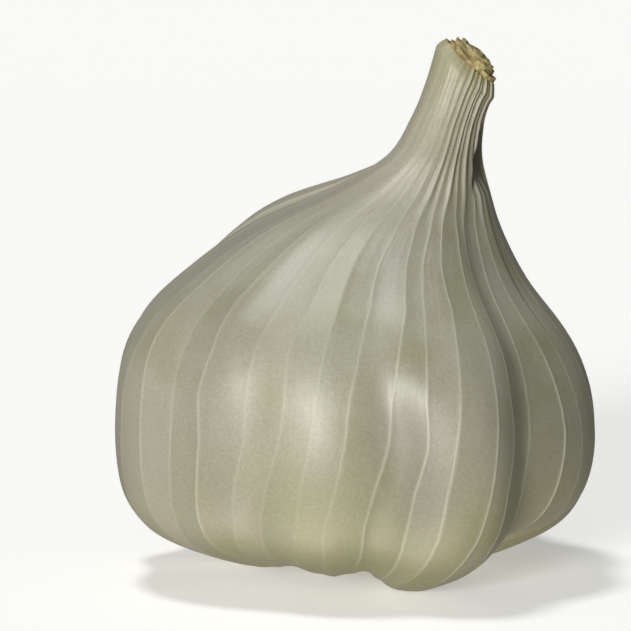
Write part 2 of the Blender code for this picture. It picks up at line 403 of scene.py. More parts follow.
def soft_sun(name, bearing, height, strength, angle, colour):
    """Sun lamp that shines from a bearing and a height."""
    bpy.ops.object.light_add(type="SUN")
    sun = bpy.context.object
    sun.name = name
    turn, up = math.radians(bearing), math.radians(height)
    level = math.cos(up)
    source = Vector((math.sin(turn) * level, -math.cos(turn) * level, math.sin(up)))
    sun.rotation_euler = source.to_track_quat("Z", "Y").to_euler()
    sun.data.energy = strength
    sun.data.angle = math.radians(angle)
    sun.data.color = linear(colour)[:3]


for row in LIGHTS:
    soft_sun(*row)
world = bpy.data.worlds.new("studio")
bpy.context.scene.world = world
world.use_nodes = True
world.node_tree.nodes["Background"].inputs["Color"].default_value = linear("#fbfaf0")
world.node_tree.nodes["Background"].inputs["Strength"].default_value = WORLD_LIGHT

# %% [markdown]
# ## Veins
#
# The skin is a dried leaf base, and like any leaf it has veins: fine raised lines
# from the neck over the cloves to the root. Each wanders a little. The mesh is laid
# out to follow them: every vein gets its own column of vertices, with more columns
# crowded beside it on the belly, where a vein is narrow in degrees. In front the
# veins slant, from upper right to lower left, and those beside the crevice on the
# right twist round the neck together.

# %% Vein bearings and their wander
FRONT_VEINS = (-63.0, -54.5, -46.0, -38.0, -29.5, -21.0, -12.5, -4.0,
               5.5, 13.5, 20.0, 27.5, 34.0, 43.0, 52.0, 60.5)
BACK_VEINS = 27
CREVICE_BEARING = 60.5
# stations, and how far the veins beside the crevice have turned there (degrees)
TWIST = ((0, 9.5, 11.5, 12.3, 13.4, 15, 17), (0, -0.5, 1.0, 3.5, 7.5, 11.0, 12.0))
# the same for the slant of the veins in front
SLANT = ((0, 4, 7, 9.5, 11.0, 12.5, 14.0), (-9.0, -6.5, 0.0, 6.0, 7.0, 3.0, 0.0))
KNOT_SPACING = 0.8      # stations between the small kinks of a vein
KINK = 0.75             # degrees
SWAY = 1.2              # degrees

gap = (FRONT_VEINS[0] + 360.0 - FRONT_VEINS[-1]) / (BACK_VEINS + 1)
back_veins = FRONT_VEINS[-1] + gap * np.arange(1, BACK_VEINS + 1)
back_veins = back_veins + rng.uniform(-1.4, 1.4, BACK_VEINS)
VEINS = np.concatenate([FRONT_VEINS, back_veins])
STRIPS = len(VEINS)
CREVICE = len(FRONT_VEINS) - 1

ROWS = 186
PER_STRIP = 10
COLUMNS = STRIPS * PER_STRIP
s_rows = np.linspace(0.14, LAST, ROWS)

knots = np.arange(0.0, LAST + 1.0, KNOT_SPACING)
wander = []
for k in range(STRIPS):
    kinks = rng.uniform(-KINK, KINK, len(knots))
    sway = SWAY * np.sin(knots * rng.uniform(0.25, 0.5) + rng.uniform(0.0, 6.3))
    wander.append(np.interp(s_rows, knots, kinks + sway))
vein_path = VEINS[:, None] + np.array(wander)
twist = np.interp(s_rows, *TWIST)
vein_path += twist * np.exp(-((turned(VEINS, 62.0) / 42.0) ** 2))[:, None]
slant = np.interp(s_rows, *SLANT)
vein_path += slant * np.exp(-((turned(VEINS, 0.0) / 45.0) ** 4))[:, None]
vein_path[CREVICE] = CREVICE_BEARING + twist
print("veins:", STRIPS, "columns:", COLUMNS, "rows:", ROWS)

# %% [markdown]
# The columns between two veins are spread by a curve that starts and ends flat. How
# flat it is depends on the station: strongly on the wide belly, not at all on the
# neck, where the veins stand so close that they make pleats. On the belly each place
# is the mean of five stations close together, because taut skin doesn't follow every
# small turn of the cloves.

# %% Bearing of every column at every row
CROWDING = 0.82         # how strongly columns gather beside a vein on the belly
EASE = (-0.7, -0.35, 0.0, 0.35, 0.7)    # stations averaged at each place

share = np.tile(np.arange(PER_STRIP) / PER_STRIP, STRIPS)
strip = np.repeat(np.arange(STRIPS), PER_STRIP)
radius_rows = smooth_through(STATIONS, s_rows)[:, 0]
crowd = CROWDING * ramp(radius_rows, 5.0, 20.0)[:, None]
spread = share[None, :] - crowd * np.sin(2 * np.pi * share)[None, :] / (2 * np.pi)
left_vein = vein_path[strip].T
right_vein = np.roll(vein_path, -1, axis=0)[strip].T
right_vein = np.where(right_vein < left_vein - 180.0, right_vein + 360.0, right_vein)
width = right_vein - left_vein
bearing = left_vein + spread * width
s_grid = np.repeat(s_rows[:, None], COLUMNS, axis=1)
base = np.zeros(s_grid.shape + (3,))
for ahead in EASE:
    eased = hump(s_grid, 2.6, 6.8, 11.5) * ahead
    base += bulb_points(s_grid + eased, bearing) / len(EASE)
axis_x = smooth_through(STATIONS, s_rows)[:, 4:5]
ring_radius = np.hypot(base[..., 0] - axis_x, base[..., 1])
across = np.minimum(spread, 1.0 - spread) * np.radians(width) * ring_radius
print("closest columns on the belly, mm:", round(float(across[90, 1]), 3))

# %% [markdown]
# ## Relief of the skin
#
# Everything the fingers could feel is real geometry: the veins stand proud by less
# than a tenth of a millimetre, the skin sags a little between them, the neck is folded
# into pleats on its right, and a deeper crevice runs down beside them, where an
# outer skin laps over the one behind. All of it is added along the surface normal.
# Soft noise on a coarse grid of random numbers keeps the parts from looking alike.

# %% Soft noise round the bulb
def soft_noise(seed, around, along, b, s):
    """Smooth random values, -1 to 1, on a grid of cells that closes round the bulb."""
    cells = np.random.default_rng(seed).uniform(-1.0, 1.0, (along + 2, around))
    u = (b % 360.0) / 360.0 * around
    v = np.clip(s / LAST, 0.0, 1.0) * along
    i, j = np.floor(u).astype(int), np.floor(v).astype(int)
    fu, fv = u - i, v - j
    fu, fv = fu * fu * (3 - 2 * fu), fv * fv * (3 - 2 * fv)
    i0, i1 = i % around, (i + 1) % around
    low = cells[j, i0] * (1 - fu) + cells[j, i1] * fu
    high = cells[j + 1, i0] * (1 - fu) + cells[j + 1, i1] * fu
    return low * (1 - fv) + high * fv


# %% Veins, sag and pleats
FRONT_STRENGTH = (0.45, 0.5, 0.35, 0.45, 0.25, 0.3, 0.25, 0.4,
                  0.8, 0.9, 0.9, 1.0, 0.9, 0.9, 0.9, 0.5)
VEIN_RISE = 0.07        # mm, like the other heights and depths here
VEIN_REACH = 0.15
SAG = 0.06
PLEAT_RISE, PLEAT_SINK = 0.32, 0.18
UNEVEN, FINE_UNEVEN = 0.08, 0.02

vein_strength = rng.uniform(0.35, 1.0, STRIPS)
vein_strength[:len(FRONT_STRENGTH)] = FRONT_STRENGTH
pleat_height = np.where(np.arange(STRIPS) % 2 == 0, 1.0, 0.45) * rng.uniform(0.75, 1.2, STRIPS)


def per_vein(values):
    """Value of the vein each column is nearest to."""
    nearest = (strip[None, :] + (spread > 0.5)) % STRIPS
    return values[nearest]


belly = hump(s_grid, 1.5, 7.5, 14.0)
on_neck = ramp(s_grid, 10.6, 13.2)
smooth_side = np.exp(-(turned(bearing, -58.0) / 66.0) ** 6)
pleated = on_neck * (1.0 - 0.97 * smooth_side)

fade = 0.8 + 0.4 * soft_noise(21, 60, 9, bearing, s_grid)
vein_seen = per_vein(vein_strength) * np.clip(fade, 0.3, 1.0) * ramp(s_grid, 2.5, 6.0)
vein = np.exp(-(across / VEIN_REACH) ** 2) * vein_seen
ridge = (0.5 + 0.5 * np.cos(2 * np.pi * spread)) ** 1.2 * per_vein(pleat_height)

slack = 0.6 + 0.4 * soft_noise(3, 43, 5, bearing, s_grid)
relief = VEIN_RISE * vein * (1.0 - 0.6 * on_neck)
relief -= SAG * np.sin(np.pi * spread) ** 2 * belly * slack
relief += pleated * (PLEAT_RISE * ridge - PLEAT_SINK)
relief += UNEVEN * soft_noise(11, 22, 12, bearing, s_grid) * belly
relief += FINE_UNEVEN * soft_noise(12, 110, 12, bearing, s_grid) * ramp(s_grid, 3.0, 6.0)
print("relief so far, mm:", round(float(relief.min()), 2), "to", round(float(relief.max()), 2))

# %% [markdown]
# The crevice is a narrow slot with a step beside it: the skin on its right lies
# lower, and comes up again further round. Higher up, the right side of the neck is
# hollow behind the lapped edge. Close to the root the skin gathers in short folds.

# %% Crevice, hollow and root folds
SLOT_DEPTH, LAP_STEP = 0.6, 0.5     # mm
HOLLOW_DEPTH = 1.0                  # mm
ROOT_FOLD = 0.25                    # mm
# stations, and the bearing of the lapped edge there
LAP_EDGE = ((12.0, 12.3, 12.9, 13.45, 14.0, 14.4), (44, 46, 53, 59, 69, 78))

past = turned(bearing, vein_path[CREVICE][:, None])
past_mm = np.radians(past) * ring_radius
crevice_zone = hump(s_grid, 8.7, 11.2, 12.7)
slot_shape = np.exp(-((past_mm - 0.35) / 0.30) ** 2)
step_shape = ramp(past_mm, 0.0, 0.3) * np.exp(-np.clip(past_mm, 0.0, 40.0) / 5.0)
relief -= crevice_zone * (SLOT_DEPTH * slot_shape + LAP_STEP * step_shape)

lap_edge = np.interp(s_rows, *LAP_EDGE)[:, None]
hollow = ramp(turned(bearing, lap_edge), 0.0, 4.0) * (1.0 - ramp(bearing, 84.0, 100.0))
hollow = hollow * ramp(s_grid, 11.9, 12.9) * (1.0 - ramp(s_grid, 13.7, 14.3))
relief -= HOLLOW_DEPTH * hollow * (1.0 - ramp(bearing, 78.0, 92.0))

toward_root = 1.0 - ramp(s_grid, 2.2, 4.6)
between = 0.5 - 0.5 * np.cos(2 * np.pi * spread)
relief -= ROOT_FOLD * toward_root * between * ramp(s_grid, 0.6, 1.6)
print("relief, mm: lowest", round(float(relief.min()), 2), "highest", round(float(relief.max()), 2))

# %% [markdown]
# The normal at each point comes from its neighbours in the grid. Under the feet the
# relief is left out, so that the bulb still stands flat. The rim at the cut is torn
# a little up and down.

# %% Push the surface out along its normal
around_step = np.roll(base, -1, axis=1) - np.roll(base, 1, axis=1)
along_step = np.gradient(base, axis=0)
normal = np.cross(around_step, along_step)
normal /= np.linalg.norm(normal, axis=-1, keepdims=True) + 1e-12
standing = ramp(base[..., 2], 0.05, 1.2)
skin_points = base + normal * (relief * standing)[..., None]
skin_points[..., 2] = np.maximum(skin_points[..., 2], 0.0)
ragged = 0.16 * soft_noise(31, 14, 1, bearing, s_grid)
ragged += 0.05 * soft_noise(32, 60, 1, bearing, s_grid)
skin_points[..., 2] += ragged * ramp(s_grid, 16.2, 17.0)
print("skin grid:", skin_points.shape)

# %% [markdown]
# ## Turning a sphere into the skin
#
# A UV sphere already has what the skin needs: closed poles, rings and meridians, and
# a UV map that runs round and along. Extruding or sculpting could not follow forty
# veins, so each vertex of a finely divided sphere is drawn to its point of the grid.
# The last rings turn over the rim and go down inside the mouth of the neck.

# %% Rings inside the mouth
# share of the rim's width, and depth below the rim in mm
MOUTH = ((0.97, -0.03), (0.90, 0.02), (0.87, 0.35), (0.86, 1.0), (0.86, 1.9), (0.80, 2.7))
rim = skin_points[-1]
rim_middle = rim.mean(axis=0)
down_neck = np.array([-0.45, 0.0, -1.0])
slope, forward = math.tan(math.radians(CUT_SLOPE)), math.tan(math.radians(CUT_FORWARD))
out_of_cut = np.array([slope, -forward, 1.0])
out_of_cut /= np.linalg.norm(out_of_cut)
inside = []
for shrink, drop in MOUTH:
    flat_ring = rim_middle + (rim - rim_middle) * shrink
    inside.append(flat_ring + down_neck * drop)
skin_rings = np.concatenate([skin_points, np.array(inside)])
skin_floor = inside[-1].mean(axis=0)
skin_s = np.concatenate([s_rows, np.full(len(inside), LAST)])
print("rings in the skin:", len(skin_rings))

# %% [markdown]
# The function below adds the sphere, finds each vertex's row and column from where
# it lies on the sphere, and moves it to its point. The stalk and the root plate are
# made by the same function later.

# %% A sphere drawn out to rings of points
def sphere_to_rings(name, rings, first_pole, last_pole):
    """UV sphere whose rings, from the lowest up, take the given points (mm)."""
    count, columns = rings.shape[:2]
    bpy.ops.object.select_all(action="DESELECT")
    bpy.ops.mesh.primitive_uv_sphere_add(segments=columns, ring_count=count + 1, radius=1.0)
    item = bpy.context.object
    item.name = name
    mesh = item.data
    co = np.empty(len(mesh.vertices) * 3)
    mesh.vertices.foreach_get("co", co)
    co = co.reshape(-1, 3)
    polar = np.arccos(np.clip(-co[:, 2], -1.0, 1.0)) / math.pi
    row = np.rint(polar * (count + 1)).astype(int) - 1
    turn = np.arctan2(co[:, 0], -co[:, 1]) / math.tau
    column = np.rint(turn * columns).astype(int) % columns
    points = rings[np.clip(row, 0, count - 1), column]
    points[row < 0] = first_pole
    points[row >= count] = last_pole
    mesh.vertices.foreach_set("co", ((points + SHIFT) * MM).ravel())
    mesh.update()
    return item, row, column


root_pole = (0.0, 0.0, STATIONS[0][1])
skin, skin_row, skin_column = sphere_to_rings("garlic_skin", skin_rings, root_pole, skin_floor)
print("skin faces:", len(skin.data.polygons))

# %% [markdown]
# The sphere's own UV map is replaced by one that counts columns and stations, so
# that streaks in the material follow the veins however they wander. Where it closes,
# and at the poles, the corners of a face would lie far apart, so they are set anew.

# %% UV map of the skin
mesh = skin.data
corner_vertex = np.empty(len(mesh.loops), int)
mesh.loops.foreach_get("vertex_index", corner_vertex)
sizes = np.empty(len(mesh.polygons), int)
mesh.polygons.foreach_get("loop_total", sizes)
face_of = np.repeat(np.arange(len(sizes)), sizes)
u = skin_column[corner_vertex].astype(float)
pole = (skin_row[corner_vertex] < 0) | (skin_row[corner_vertex] >= len(skin_rings))
face_high = np.zeros(len(sizes))
np.maximum.at(face_high, face_of, np.where(pole, 0.0, u))
u = np.where((u < 2) & (face_high[face_of] > COLUMNS - 2), u + COLUMNS, u)
face_low = np.full(len(sizes), 1e9)
np.minimum.at(face_low, face_of, np.where(pole, 1e9, u))
u = np.where(pole, face_low[face_of] + 0.5, u)
v = skin_s[np.clip(skin_row, 0, len(skin_rings) - 1)][corner_vertex]
uv = np.stack([u / COLUMNS, v / LAST], axis=1)
mesh.uv_layers[0].name = "along_veins"
mesh.uv_layers[0].data.foreach_set("uv", uv.astype(np.float32).ravel())
print("UV map:", mesh.uv_layers[0].name)

# %% [markdown]
# Values that the material needs are kept on the vertices: where veins and pleats are,
# each strip's own tone, and painted shade in the pleats' folds, on the right shoulder,
# in the crevice and beside the lapped edge. Round the cloves light and shade are painted
# too: paler on each clove where its sheen falls, darker over the gap between two cloves.

# %% Vertex values of the skin
# bearing, reach to either side, and how much painted light (above 0) or painted shade (below 0) it gets
LOBE_LIGHT_AND_SHADE = (
    (-57.0, 10.0, 0.6),
    (-34.0, 6.0, -0.4),
    (-14.0, 8.0, 0.3),
    (11.0, 8.0, -1.2),
    (29.0, 6.0, 0.9),
    (46.0, 9.0, -1.0),
    (80.0, 14.0, -0.6),
)
strip_tone = rng.uniform(-1.0, 1.0, STRIPS)
tone = np.repeat(strip_tone[strip][None, :], ROWS, axis=0)
# painted shade: darker in the pleats' folds, and over the groove on the right shoulder
shoulder_shade = np.exp(-(turned(bearing, 38.0) / 26.0) ** 2) * hump(s_grid, 9.5, 11.8, 14.5)
fold_and_shoulder_shade = 0.55 * pleated * (1.0 - ridge) + 0.35 * shoulder_shade
# painted light on the cloves' crests and painted shade over the gaps between them
pressed = np.zeros_like(bearing)
for middle, wide, amount in LOBE_LIGHT_AND_SHADE:
    pressed += amount * np.exp(-(turned(bearing, middle) / wide) ** 2)
stored = {
    "vein": vein_seen * (1.0 - 0.7 * on_neck),
    "ridge": pleated * ridge,
    "streaked": 0.15 + 0.85 * ramp(s_grid, 8.0, 11.5),
    # painted shade in the crevice slot and in the hollow behind the lapped edge
    "crevice_shade": np.clip(np.maximum(1.2 * crevice_zone * slot_shape, hollow), 0.0, 1.0),
    "strip_tone": tone,
    "fold_and_shoulder_shade": np.clip(fold_and_shoulder_shade, 0.0, 1.0),
    "station": s_grid,
    # painted shadow cast by the lapped outer skin onto the skin beside it
    "lap_shadow": crevice_zone * step_shape,
    "pressed": pressed * hump(s_grid, 3.2, 6.6, 10.2),
}
for name, grid in stored.items():
    values = grid[np.clip(skin_row, 0, ROWS - 1), skin_column]
    layer = mesh.attributes.new(name, "FLOAT", "POINT")
    layer.data.foreach_set("value", values.astype(np.float32))
print("vertex values:", list(stored))

# %% [markdown]
# Smooth shading suits taut skin everywhere. The piece rides on the bulb's one body,
# and takes the place of the plain solid.

# %% Smooth shading, and the skin stands for the solid bulb
bpy.ops.object.select_all(action="DESELECT")
skin.select_set(True)
bpy.context.view_layer.objects.active = skin
bpy.ops.object.shade_smooth()
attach(skin, "root")
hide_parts("bulb")
print("skin stands for the bulb")

# %% [markdown]
# ## Dried garlic skin
#
# The skin is dried leaf tissue, a few paper-thin layers over each other. Light goes
# a little way into it, so it looks soft, and its outer face has the satin gloss of
# onion paper. Its colour is ivory, olive towards the root, with mauve-grey clouds
# where the flesh shows through, and a slightly different tone in each strip between
# two veins. Long fibres run beside the veins, about a third of a millimetre apart.

# %% Skin colours
IVORY, OLIVE, MAUVE = linear("#a09f8c"), linear("#8f8e6d"), linear("#98948a")
# the fold and crevice colours are painted shade, and the olive shade colour is a painted shadow beside the
# lapped edge
VEIN_PALE, FOLD_SHADE, SHADE_OLIVE = linear("#c8c8b8"), linear("#6a664a"), linear("#74735a")
CUT_BROWN, CREVICE_SHADE = linear("#9a8e5e"), linear("#605d48")
NECK_PALE, NECK_OLIVE = linear("#b3ae9e"), linear("#9b976f")
NOISE, MAP_RANGE, MATH = "ShaderNodeTexNoise", "ShaderNodeMapRange", "ShaderNodeMath"
MIX, BUMP = "ShaderNodeMix", "ShaderNodeBump"
RANGE = ("Value", "From Min", "From Max", "To Min", "To Max")
EASED = {"interpolation_type": "SMOOTHSTEP"}

skin_material, tree, shader = new_material("dried_garlic_skin")
place = add(tree, "ShaderNodeTexCoord").outputs["Object"]
height = add(tree, "ShaderNodeSeparateXYZ", {"Vector": place}).outputs["Z"]
uv_map = add(tree, "ShaderNodeUVMap", uv_map="along_veins").outputs["UV"]
value = {}
for name in stored:
    value[name] = add(tree, "ShaderNodeAttribute", attribute_name=name).outputs["Fac"]
print("values read by the material:", len(value))

# %% [markdown]
# Clouds are noise on the object's own coordinates: olive ones about 9 mm across and
# mauve-grey ones about 14 mm. Olive also gathers in the lowest 25 mm. Up the neck the
# skin is paler, and near the cut it has aged. Each colour is laid over the last.

# %% Clouds of olive and mauve, and the neck
clouds = add(tree, NOISE, {"Vector": place, "Scale": 1.0 / (9 * MM), "Detail": 3.0})
patches = add(tree, NOISE, {"Vector": place, "W": 3.7, "Scale": 1.0 / (14 * MM), "Detail": 2.0},
              noise_dimensions="4D")
low_down = add(tree, MAP_RANGE, dict(zip(RANGE, (height, 26 * MM, 3 * MM, 0.0, 0.95))), **EASED)
cloud_part = add(tree, MAP_RANGE, dict(zip(RANGE, (clouds.outputs[0], 0.45, 0.66, 0.0, 0.75))))
olive_part = add(tree, MATH, {0: low_down.outputs[0], 1: cloud_part.outputs[0]}, operation="MAXIMUM")
mauve_part = add(tree, MAP_RANGE, dict(zip(RANGE, (patches.outputs[0], 0.44, 0.62, 0.0, 0.58))))
strip_mauve = add(tree, MATH, {0: value["strip_tone"], 1: 0.11, 2: mauve_part.outputs[0]},
                  operation="MULTIPLY_ADD", use_clamp=True)
up_neck = add(tree, MAP_RANGE, dict(zip(RANGE, (value["station"], 10.5, 13.0, 0.0, 0.6))), **EASED)
near_cut = add(tree, MAP_RANGE, dict(zip(RANGE, (value["station"], 13.2, 16.3, 0.0, 0.65))))
tint = IVORY
for part, over in ((olive_part, OLIVE), (strip_mauve, MAUVE), (up_neck, NECK_PALE), (near_cut, NECK_OLIVE)):
    tint = add(tree, MIX, {0: part.outputs[0], 6: tint, 7: over}, data_type="RGBA").outputs[2]
print("clouds mixed")

# %% [markdown]
# Fibres are noise on the UV map: very fine round the bulb and long along it. Each strip
# between two veins is a touch lighter or darker than the next; the skin over a clove gets painted light
# and over a gap painted shade. A grain of 0.3 mm stands for the pores between fibres.

# %% Fibres, grain and strips
long_fibres = add(tree, "ShaderNodeMapping", {"Vector": uv_map, "Scale": (620.0, 9.0, 1.0)})
fibres = add(tree, NOISE, {"Vector": long_fibres.outputs[0], "Scale": 1.0, "Detail": 2.0})
grain = add(tree, NOISE, {"Vector": place, "Scale": 1.0 / (0.30 * MM), "Detail": 2.0})
fibre_wave = add(tree, MAP_RANGE, dict(zip(RANGE, (fibres.outputs[0], 0.3, 0.7, -0.09, 0.08))))
fibre_light = add(tree, MATH, {0: fibre_wave.outputs[0], 1: value["streaked"], 2: 1.0},
                  operation="MULTIPLY_ADD")
grain_light = add(tree, MAP_RANGE, dict(zip(RANGE, (grain.outputs[0], 0.3, 0.7, 0.91, 1.09))))
tone_light = add(tree, MAP_RANGE, dict(zip(RANGE, (value["strip_tone"], -1.0, 1.0, 0.90, 1.04))))
# painted light on the cloves and painted shade over the gaps between them
pressed_light = add(tree, MATH, {0: value["pressed"], 1: 0.22, 2: 1.0}, operation="MULTIPLY_ADD")
light = fibre_light.outputs[0]
for factor in (grain_light, tone_light, pressed_light):
    light = add(tree, MATH, {0: light, 1: factor.outputs[0]}, operation="MULTIPLY").outputs[0]
toned = add(tree, "ShaderNodeVectorMath", {0: tint, "Scale": light}, operation="SCALE")
print("fibres, grain and strips mixed")

# %% [markdown]
# Veins are thin: a quarter of a millimetre. They are drawn on the UV map, where each
# vein lies on a whole number of strips, so the line stays crisp between the vertices.
# Pleats are pale on their ridges. Their folds and the right shoulder get painted shade, the skin beside the
# lapped edge a painted shadow, and the crevice the darkest painted shade.

# %% Veins, pleats, crevice and cut edge
u_value = add(tree, "ShaderNodeSeparateXYZ", {"Vector": uv_map}).outputs["X"]
strip_count = add(tree, MATH, {0: u_value, 1: float(STRIPS)}, operation="MULTIPLY")
from_vein = add(tree, MATH, {0: strip_count.outputs[0], 1: 0.5}, operation="PINGPONG")
vein_line = add(tree, MAP_RANGE, dict(zip(RANGE, (from_vein.outputs[0], 0.03, 0.21, 0.68, 0.0))), **EASED)
vein_part = add(tree, MATH, {0: value["vein"], 1: vein_line.outputs[0]}, operation="MULTIPLY")
ridge_part = add(tree, MATH, {0: value["ridge"], 1: 0.35}, operation="MULTIPLY")
pale_part = add(tree, MATH, {0: vein_part.outputs[0], 1: ridge_part.outputs[0]}, operation="MAXIMUM")
# painted shade in the pleats' folds and on the right shoulder
fold_shade_part = add(tree, MATH, {0: value["fold_and_shoulder_shade"], 1: 0.75}, operation="MULTIPLY")
# painted shadow beside the lapped edge
lap_shadow_part = add(tree, MATH, {0: value["lap_shadow"], 1: 0.7}, operation="MULTIPLY")
at_cut = add(tree, MAP_RANGE, dict(zip(RANGE, (value["station"], 16.4, 17.0, 0.0, 0.8))))
colour = toned.outputs[0]
for part, over in (
        (pale_part.outputs[0], VEIN_PALE),
        (fold_shade_part.outputs[0], FOLD_SHADE),
        (lap_shadow_part.outputs[0], SHADE_OLIVE),
        # painted shade, darkest, in the crevice and the hollow
        (value["crevice_shade"], CREVICE_SHADE),
        (at_cut.outputs[0], CUT_BROWN)):
    colour = add(tree, MIX, {0: part, 6: colour, 7: over}, data_type="RGBA").outputs[2]
tree.links.new(colour, shader.inputs["Base Color"])
print("skin nodes:", len(tree.nodes))

# %% [markdown]
# Fine crinkles, too small for the mesh, are a bump. The roughness varies along the
# fibres, which breaks the highlights up as on real onion paper. A coat, like the
# waxy outer face of the skin, adds a second, softer sheen.

# %% Gloss, bump and softness
crinkle_space = add(tree, "ShaderNodeMapping", {"Vector": uv_map, "Scale": (150.0, 60.0, 1.0)})
crinkles = add(tree, NOISE, {"Vector": crinkle_space.outputs[0], "Scale": 1.0, "Detail": 3.0,
                             "Roughness": 0.6})
fibre_bump = add(tree, BUMP, {"Height": fibres.outputs[0], "Strength": value["streaked"],
                              "Distance": 0.03 * MM})
crinkle_bump = add(tree, BUMP, {"Height": crinkles.outputs[0], "Strength": 0.6, "Distance": 0.10 * MM,
                                "Normal": fibre_bump.outputs[0]})
gloss = add(tree, MAP_RANGE, dict(zip(RANGE, (fibres.outputs[0], 0.3, 0.7, 0.42, 0.52))))
tree.links.new(crinkle_bump.outputs[0], shader.inputs["Normal"])
tree.links.new(gloss.outputs[0], shader.inputs["Roughness"])
shader.inputs["IOR"].default_value = 1.45
shader.inputs["Subsurface Weight"].default_value = 0.15
shader.inputs["Subsurface Radius"].default_value = (1.0, 0.85, 0.55)
shader.inputs["Subsurface Scale"].default_value = 1.2 * MM
shader.inputs["Coat Weight"].default_value = 0.8
shader.inputs["Coat Roughness"].default_value = 0.43
shader.inputs["Coat IOR"].default_value = 1.5
skin.data.materials.clear()
skin.data.materials.append(skin_material)
print("skin material on", skin.name)

# %% [markdown]
# ## Skins inside the mouth of the neck
#
# Cut across, the neck shows its layers: thin skins curled one inside the other with
# dark gaps between. Each is an open tube that follows the mouth without its pleats,
# with a wavy outline and a ragged rim, given its paper thickness by Solidify.

# %% Curled inner skins
# share of the mouth's width, height above the cut (mm), waves round the tube
LAYERS = ((0.90, 0.55, 3), (0.76, 1.15, 4), (0.60, 1.55, 5))
LAYER_DEPTH = 2.2       # mm
PAPER = 0.11            # mm
round_rim = base[-1]


def inner_skin(index, size, proud, waves):
    """One curled skin in the mouth, as a tube of paper."""
    bpy.ops.object.select_all(action="DESELECT")
    bpy.ops.mesh.primitive_cylinder_add(vertices=72, radius=1.0, depth=1.0, end_fill_type="NOTHING")
    item = bpy.context.object
    item.name = f"neck_layer_{index}"
    bpy.ops.object.mode_set(mode="EDIT")
    bpy.ops.mesh.select_all(action="SELECT")
    bpy.ops.mesh.subdivide(number_cuts=3)
    bpy.ops.object.mode_set(mode="OBJECT")
    for vertex in item.data.vertices:
        turn = math.atan2(vertex.co.x, -vertex.co.y)
        up = vertex.co.z + 0.5
        column = turn / math.tau * COLUMNS
        first, part = int(column) % COLUMNS, column % 1
        rim_point = round_rim[first] * (1 - part) + round_rim[(first + 1) % COLUMNS] * part
        wave = 1.0 + 0.07 * math.sin(waves * turn + index) + 0.04 * math.sin((waves + 4) * turn + 2 * index)
        point = rim_middle + (rim_point - rim_middle) * size * wave * (0.9 + 0.1 * up)
        tear = 0.09 * math.sin(3 * turn + index) + 0.05 * math.sin(11 * turn + 3 * index)
        point = point + down_neck * (LAYER_DEPTH * (1 - up)) + out_of_cut * (proud + tear) * up
        vertex.co = [float(value) * MM for value in point + SHIFT]
    wall = item.modifiers.new("paper", "SOLIDIFY")
    wall.thickness = PAPER * MM
    wall.offset = 0.0
    bpy.ops.object.modifier_apply(modifier=wall.name)
    bpy.ops.object.mode_set(mode="EDIT")
    bpy.ops.mesh.select_all(action="SELECT")
    bpy.ops.mesh.normals_make_consistent(inside=False)
    bpy.ops.object.mode_set(mode="OBJECT")
    bpy.ops.object.shade_smooth_by_angle(angle=math.radians(50))
    return item


layers = [inner_skin(i + 1, *row) for i, row in enumerate(LAYERS)]
print("inner skins:", [item.name for item in layers])

# %% [markdown]
# ## The cut end of the stalk
#
# In the middle of the neck is the dried flower stalk, a stiff core of fibres and
# pith. Where it was cut its face is uneven, with pits where the pith has shrunk.

# %% Stalk core
STALK_SIZE = 0.47       # share of the mouth's width
STALK_COLUMNS = 48
DOME = 1.85             # height of the middle above the cut, mm
stalk_step = np.arange(STALK_COLUMNS)
stalk_bearing = stalk_step * 360.0 / STALK_COLUMNS
round_mouth = round_rim[(stalk_step * COLUMNS // STALK_COLUMNS) % COLUMNS]
fluted = 1.0 + 0.08 * np.sin(np.radians(stalk_bearing * 5))
stalk_outline = rim_middle + (round_mouth - rim_middle) * STALK_SIZE * fluted[:, None]
stalk_rings = [stalk_outline + down_neck * drop for drop in (2.5, 1.6, 0.8)]
stalk_rings.append(stalk_outline + out_of_cut * 0.9)
for part_way in (0.92, 0.80, 0.66, 0.52, 0.38, 0.24, 0.12):
    ring = rim_middle + (stalk_outline - rim_middle) * part_way
    rough = rng.uniform(-0.07, 0.07, STALK_COLUMNS)
    rough += 0.08 * np.sin(np.radians(stalk_bearing * 3 + part_way * 400))
    stalk_rings.append(ring + out_of_cut * (DOME - 0.7 * part_way ** 2 + rough)[:, None])
stalk_rings = np.array(stalk_rings)
stalk_poles = stalk_rings[0].mean(axis=0), stalk_rings[-1].mean(axis=0)
stalk, _, _ = sphere_to_rings("stalk_core", stalk_rings, *stalk_poles)
bpy.ops.object.shade_smooth_by_angle(angle=math.radians(40))
print("stalk faces:", len(stalk.data.polygons))

# %% [markdown]
# ## Dry straw and pith
#
# Dried stalk and skin edges are straw: brown-olive, quite rough, paler on the fibre
# ends and dark in the pits.

# %% Straw material
STRAW_PALE, STRAW_BROWN, PITH_DARK = linear("#cdc08e"), linear("#94865a"), linear("#65572f")
straw, tree, shader = new_material("dry_straw")
place = add(tree, "ShaderNodeTexCoord").outputs["Object"]
fibre_ends = add(tree, "ShaderNodeTexVoronoi", {"Vector": place, "Scale": 1.0 / (0.42 * MM)})
stain = add(tree, NOISE, {"Vector": place, "Scale": 1.0 / (1.1 * MM), "Detail": 4.0})
ends = add(tree, MAP_RANGE, dict(zip(RANGE, (fibre_ends.outputs[0], 0.1, 0.6, 0.0, 0.6))))
stained = add(tree, MAP_RANGE, dict(zip(RANGE, (stain.outputs[0], 0.42, 0.62, 0.0, 0.8))))
straw_mix = add(tree, MIX, {0: ends.outputs[0], 6: STRAW_PALE, 7: STRAW_BROWN}, data_type="RGBA")
straw_dark = add(tree, MIX, {0: stained.outputs[0], 6: straw_mix.outputs[2], 7: PITH_DARK}, data_type="RGBA")
straw_bump = add(tree, BUMP, {"Height": fibre_ends.outputs[0], "Strength": 0.7, "Distance": 0.12 * MM})
tree.links.new(straw_dark.outputs[2], shader.inputs["Base Color"])
